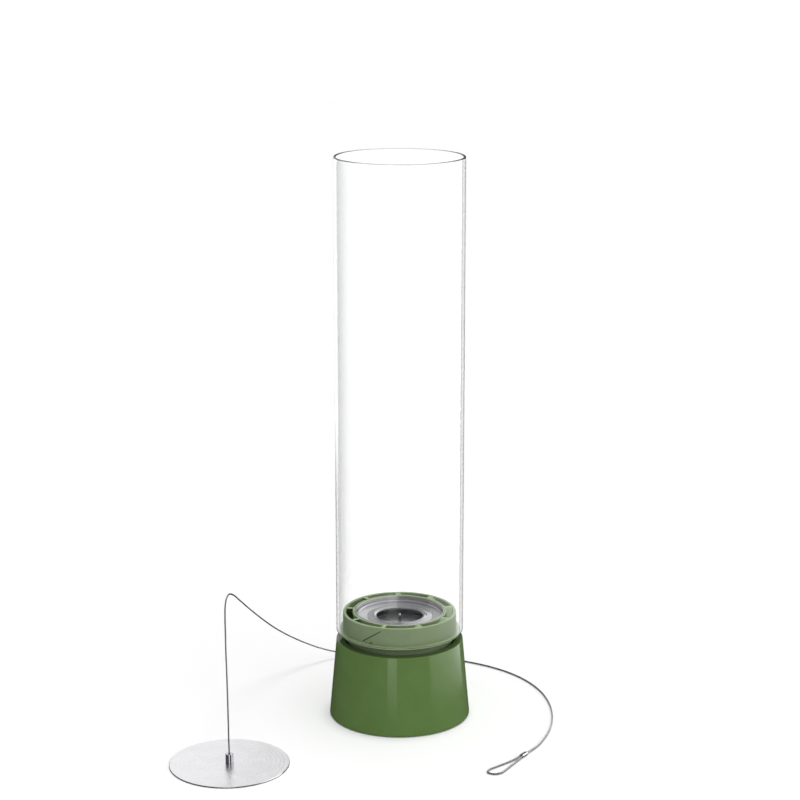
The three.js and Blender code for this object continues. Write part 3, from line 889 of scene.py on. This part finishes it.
def make_reducer():
    """A spun ring: raised outer edge, face falling gently inwards with fine turned rings, rolled lip."""
    edge, bottom, top = turned_size("reducer_ring")
    seat = bottom + 1 * MM
    hole = 22 * MM
    lip = 24.2 * MM
    hollow = 31 * MM
    face_edge = 38.6 * MM
    outline = filleted([
        (edge, seat, 0.3 * MM),
        (edge, top, 0.45 * MM),
        (edge - 0.9 * MM, top, 0.4 * MM),
        (edge - 1.7 * MM, seat + 1.1 * MM, 0.5 * MM),
        (hollow, seat + 0.1 * MM, 0.4 * MM),
        (lip + 1.8 * MM, seat + 0.5 * MM, 0.8 * MM),
        (lip, seat + 1.9 * MM, 0.9 * MM),
        (hole, seat + 0.7 * MM, 0.7 * MM),
        (hole, seat - 1 * MM, 0.3 * MM),
        (hole + 0.9 * MM, seat - 1 * MM, 0.3 * MM),
        (lip, seat + 0.7 * MM, 0.6 * MM),
        (hollow, seat - 0.8 * MM, 0.4 * MM),
        (face_edge, seat, 0.5 * MM),
    ])
    reducer = lathe("reducer", rippled(outline, lip + 2 * MM, face_edge, seat))
    metal = turned_metal("spun_steel", srgb(198, 198, 200), 0.2, 2600, 0.004 * MM, 0.5)
    place(reducer, "reducer", ["reducer_ring"], metal)


def rippled(outline, inner, outer, above):
    """Adds fine turned rings to the stretch of an outline that runs inwards from outer to inner."""
    rng = random.Random(5)
    pitch = 1.15 * MM
    depth = 0.012 * MM
    per_ring = 6
    result = []
    for a, b in zip(outline, outline[1:] + outline[:1]):
        result.append(a)
        run = a.x - b.x
        if run < 2 * MM or b.x < inner - 4 * MM or a.x > outer + 1 * MM or b.y < above:
            continue
        steps = round(run / pitch * per_ring)
        for k in range(1, steps):
            point = a.lerp(b, k / steps)
            wave = math.sin(2 * math.pi * k / per_ring + 0.8 * math.sin(k * 0.31))
            fade = min(1, k / per_ring, (steps - k) / per_ring)
            result.append(Vector((point.x, point.y + depth * wave * fade * rng.uniform(0.4, 1.3))))
    return result


# ---------- snuffer ----------

def make_disc():
    """A thin disc with faint raised rings at uneven spacing and a bevelled edge."""
    low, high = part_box("snuffer_disc")
    centre = (low + high) / 2
    radius = (high.y - low.y) / 2
    top = high.z
    bevel = 0.35 * MM
    face_edge = radius - 1.3 * MM
    hole = 1.45 * MM
    countersink = 2.9 * MM
    sunk = 0.05 * MM  # the face lies this far below its rim
    rise = 0.035 * MM
    rings = [9, 12.5, 16, 20, 23.6, 26.2, 28.4, 33, 36.4, 41.5, 45.2, 48.6]  # radii in mm
    steps = 150
    outline = [
        (countersink, 0),
        (radius - bevel, 0),
        (radius, bevel),
        (radius, top - bevel),
        (radius - bevel, top),
    ]
    for k in range(steps + 1):
        here = face_edge + (hole - face_edge) * k / steps
        swell = sum(math.exp(-((here / MM - ring) / 0.7) ** 2) for ring in rings)
        ease = min(1.0, k / 8)
        outline.append((here, top - sunk * ease + rise * swell))
    disc = lathe("disc", outline, 256)
    disc.data.transform(Matrix.Translation((centre.x, centre.y, 0)))
    middle = (centre.x, centre.y)
    metal = turned_metal("disc_steel", srgb(230, 230, 232), 0.26, 1500, 0.01 * MM, 0.0, middle)
    place(disc, "snuffer", ["snuffer_disc"], metal)


def make_ferrule():
    """A plated barrel with a screw hole from below and a small mouth for the rope."""
    low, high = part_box("rope_ferrule")
    centre = (low + high) / 2
    radius = (high.y - low.y) / 2
    bottom = low.z - 0.28 * MM  # down on the sunk face of the disc
    screw_hole = 1.3 * MM
    screw_end = 6.2 * MM
    mouth = 0.8 * MM
    mouth_bottom = high.z - 0.7 * MM
    ferrule = lathe("ferrule", filleted([
        (0, screw_end),
        (screw_hole, screw_end),
        (screw_hole, bottom),
        (radius, bottom, 0.25 * MM),
        (radius, high.z, 0.5 * MM),
        (mouth + 0.3 * MM, high.z, 0.3 * MM),
        (mouth, mouth_bottom),
        (0, mouth_bottom),
    ]), 64, closed=False)
    ferrule.data.transform(Matrix.Translation((centre.x, centre.y, 0)))
    chrome = plain_metal("ferrule_chrome", srgb(196, 196, 200), 0.03, 300, 0.0005 * MM)
    place(ferrule, "snuffer", ["rope_ferrule"], chrome)


# ---------- kept CAD nodes ----------

def paint_node(name, material):
    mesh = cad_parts[name].data
    for index in range(len(mesh.materials)):
        mesh.materials[index] = material


def paint_kept_nodes():
    zinc = plain_metal("zinc_steel", srgb(168, 171, 172), 0.38, 700)
    paint_node("base_plate", zinc)
    paint_node("stem_nut", zinc)
    paint_node("disc_screw", zinc)
    for index in range(1, 5):
        paint_node(f"base_screw_{index}", zinc)
    paint_node("foot_pad", fibres("felt", srgb(52, 52, 50), srgb(24, 24, 23), 1500))


# ---------- stage and light ----------

BACKDROP = 1.3  # brightness behind everything
DOME = 0.5  # fill from all round
FRONT = 0.8  # extra fill from half height in front
SUN = 1.75  # strength of the light from above
ROOM_LEFT = 0.35  # what level metal mirrors, at the left and at the right
ROOM_RIGHT = 1.4
OVERHEAD = 0.3  # what is mirrored from above, from behind and from below
BEHIND = 0.12
BELOW = 0.03
GLASS_EDGE = 1.25  # what is seen after one reflection within the glass
THROUGH_GLASS = 0.25  # makes up for the glass in front of the floor
FLOOR_REACH = 6.0
FLOOR_GAP = 0.2 * MM  # between the floor and what stands on it
LAMP_REACH = 0.6  # from the object's axis to the softboxes
LAMP_BOTTOM = -0.4
LAMP_TOP = 0.9
LAMP_STEPS = 24


def make_floor():
    """A pale floor that mirrors nothing and that shiny surfaces don't see."""
    ends = ((-1, -1), (1, -1), (1, 1), (-1, 1))
    corners = [(x * FLOOR_REACH, y * FLOOR_REACH, -FLOOR_GAP) for x, y in ends]
    floor = new_piece("floor", corners, [(0, 1, 2, 3)])
    material, tree, shader = new_material("floor")
    grain = speckle(tree, place_coords(tree), 3, 2)
    pale = blend_colours(tree, grain, (0.91, 0.91, 0.91, 1), (0.925, 0.925, 0.925, 1))
    tree.links.new(pale, shader.inputs["Base Color"])
    shader.inputs["Roughness"].default_value = 0.9
    shader.inputs["Specular IOR Level"].default_value = 0.1
    shader.inputs["Emission Color"].default_value = (1, 1, 1, 1)
    path = add_node(tree, "ShaderNodeLightPath").outputs
    mirrored = calculate(tree, "GREATER_THAN", path["Glossy Depth"], 0.5)
    first = calculate(tree, "LESS_THAN", path["Diffuse Depth"], 0.5)
    through = calculate(tree, "MULTIPLY", path["Is Transmission Ray"], first)
    lift = calculate(tree, "MULTIPLY", through, THROUGH_GLASS)
    tree.links.new(lift, shader.inputs["Emission Strength"])
    show_mixed(tree, mirrored, shader, add_node(tree, "ShaderNodeBsdfTransparent"))
    floor.data.materials.append(material)
    floor.visible_glossy = False


def make_world():
    """White behind everything. Diffuse fill and reflections come from softer rooms of their own."""
    world = bpy.data.worlds.new("studio")
    world.cycles.sampling_method = "NONE"
    bpy.context.scene.world = world
    world.use_nodes = True
    tree = world.node_tree
    background = tree.nodes["Background"]
    background.inputs["Color"].default_value = (1, 1, 1, 1)
    path = add_node(tree, "ShaderNodeLightPath").outputs
    direction = add_node(tree, "ShaderNodeTexCoord").outputs["Generated"]
    parts = add_node(tree, "ShaderNodeSeparateXYZ", {"Vector": direction}).outputs
    mirrored = calculate(tree, "GREATER_THAN", path["Glossy Depth"], 0.5)
    scattered = calculate(tree, "GREATER_THAN", path["Diffuse Depth"], 0.5)
    away = remap(tree, parts["Y"], 0.0, 1.0, 0.5, 0.8)
    inside = calculate(tree, "COMPARE", path["Transmission Depth"], 2.0, 0.5)
    edge = calculate(tree, "MULTIPLY", calculate(tree, "MULTIPLY", away, inside), GLASS_EDGE)
    within = calculate(tree, "GREATER_THAN", path["Transmission Depth"], 2.5)
    lit_room = calculate(tree, "MAXIMUM", mirrored_room(tree, parts, within), edge)
    room = calculate(tree, "SUBTRACT", lit_room, BACKDROP)
    seen = calculate(tree, "MULTIPLY_ADD", mirrored, room, BACKDROP)
    fill = calculate(tree, "SUBTRACT", diffuse_fill(tree, parts), seen)
    strength = calculate(tree, "MULTIPLY_ADD", scattered, fill, seen)
    tree.links.new(strength, background.inputs["Strength"])


def mirrored_room(tree, parts, within):
    """What shiny surfaces see: little behind and next to nothing below. Within the glass (within is 1)
    they also see a lamp panel behind to the right."""
    panel = remap(tree, parts["X"], ROOM_LEFT, ROOM_RIGHT, -0.06, 0.13)
    rising = remap(tree, parts["Z"], 0.5, 1.0, 0.08, 0.3)
    falling = remap(tree, parts["Z"], 1.0, 0.5, 0.4, 0.65)
    shape = calculate(tree, "MULTIPLY", rising, falling)
    overhead = remap(tree, parts["Z"], BEHIND, OVERHEAD, 0.8, 0.95)
    above = remap(tree, parts["Z"], 0.0, 1.0, -0.03, 0.05)
    lamp = calculate(tree, "MULTIPLY", calculate(tree, "MULTIPLY", panel, shape), within)
    lit = calculate(tree, "MULTIPLY", calculate(tree, "ADD", lamp, overhead), above)
    return calculate(tree, "ADD", lit, BELOW)


def diffuse_fill(tree, parts):
    """Soft light from all round, and more from half height in front. Both are weakest at the left."""
    rising = remap(tree, parts["Z"], 0.15, 1.0, 0.1, 0.3)
    falling = remap(tree, parts["Z"], 1.0, 0.0, 0.55, 0.85)
    front = remap(tree, parts["Y"], 1.0, 0.0, -0.6, 0.3)
    right = remap(tree, parts["X"], 0.1, 1.35, -0.9, 0.6)
    height = calculate(tree, "MULTIPLY", rising, falling)
    turn = calculate(tree, "MULTIPLY", front, right)
    extra = calculate(tree, "MULTIPLY", calculate(tree, "MULTIPLY", height, turn), FRONT)
    side = remap(tree, parts["X"], 0.5, 1.05, -0.9, 0.3)
    return calculate(tree, "ADD", extra, calculate(tree, "MULTIPLY", side, DOME))


def make_sun():
    """The overhead light: soft shadows straight below."""
    data = bpy.data.lights.new("overhead", "SUN")
    data.energy = SUN
    data.angle = math.radians(24)
    light = bpy.data.objects.new("overhead", data)
    light.rotation_euler = (math.radians(-4), math.radians(2), 0)
    light.visible_glossy = False
    light.visible_transmission = False
    bpy.context.scene.collection.objects.link(light)


def softbox(name, azimuths, feet, glows, fade):
    """A lamp panel curved round the object that only reflections see. azimuths, in degrees from the
    camera's side towards the right, are its two ends, feet the heights where it starts there, fading
    in over fade, and glows its brightness there."""
    start, end = (math.radians(azimuth) for azimuth in azimuths)
    corners = []
    for k in range(LAMP_STEPS + 1):
        turn = start + (end - start) * k / LAMP_STEPS
        for height in (LAMP_BOTTOM, LAMP_TOP):
            corners.append((LAMP_REACH * math.sin(turn), -LAMP_REACH * math.cos(turn), height))
    card = new_piece(name, corners, [(k, k + 2, k + 3, k + 1) for k in range(0, 2 * LAMP_STEPS, 2)])
    material = bpy.data.materials.new(name)
    material.use_nodes = True
    tree = material.node_tree
    coords = add_node(tree, "ShaderNodeTexCoord").outputs["Object"]
    parts = add_node(tree, "ShaderNodeSeparateXYZ", {"Vector": coords}).outputs
    front = calculate(tree, "MULTIPLY", parts["Y"], -1.0)
    azimuth = calculate(tree, "ARCTAN2", parts["X"], front)
    foot = remap(tree, azimuth, *feet, start, end)
    raised = remap(tree, calculate(tree, "SUBTRACT", parts["Z"], foot), 0.0, 1.0, 0.0, fade)
    glow = calculate(tree, "MULTIPLY", raised, remap(tree, azimuth, *glows, start, end))
    emission = add_node(tree, "ShaderNodeEmission", {"Strength": glow})
    clear = add_node(tree, "ShaderNodeBsdfTransparent")
    both = add_node(tree, "ShaderNodeAddShader")
    tree.links.new(emission.outputs["Emission"], both.inputs[0])
    tree.links.new(clear.outputs["BSDF"], both.inputs[1])
    tree.links.new(both.outputs["Shader"], tree.nodes["Material Output"].inputs["Surface"])
    card.data.materials.append(material)
    card.visible_camera = False
    card.visible_diffuse = False
    card.visible_transmission = False
    card.visible_shadow = False


def make_lights():
    make_sun()
    softbox("narrow_softbox", (-19.6, -4.4), (-0.095, -0.095), (2.3, 2.3), 0.072)
    softbox("broad_softbox", (52, 133), (-0.1, -0.155), (1.6, 3.0), 0.068)
    softbox("disc_softbox", (-170, -135), (0.05, 0.05), (0.95, 1.2), 0.1)


make_camera()
make_rope(make_crimp())
make_base()
make_ring()
make_glass()
make_can()
make_wool()
make_mesh()
make_stem()
make_reducer()
make_disc()
make_ferrule()
paint_kept_nodes()
make_floor()
make_world()
make_lights()
bpy.context.scene.view_settings.view_transform = "Standard"
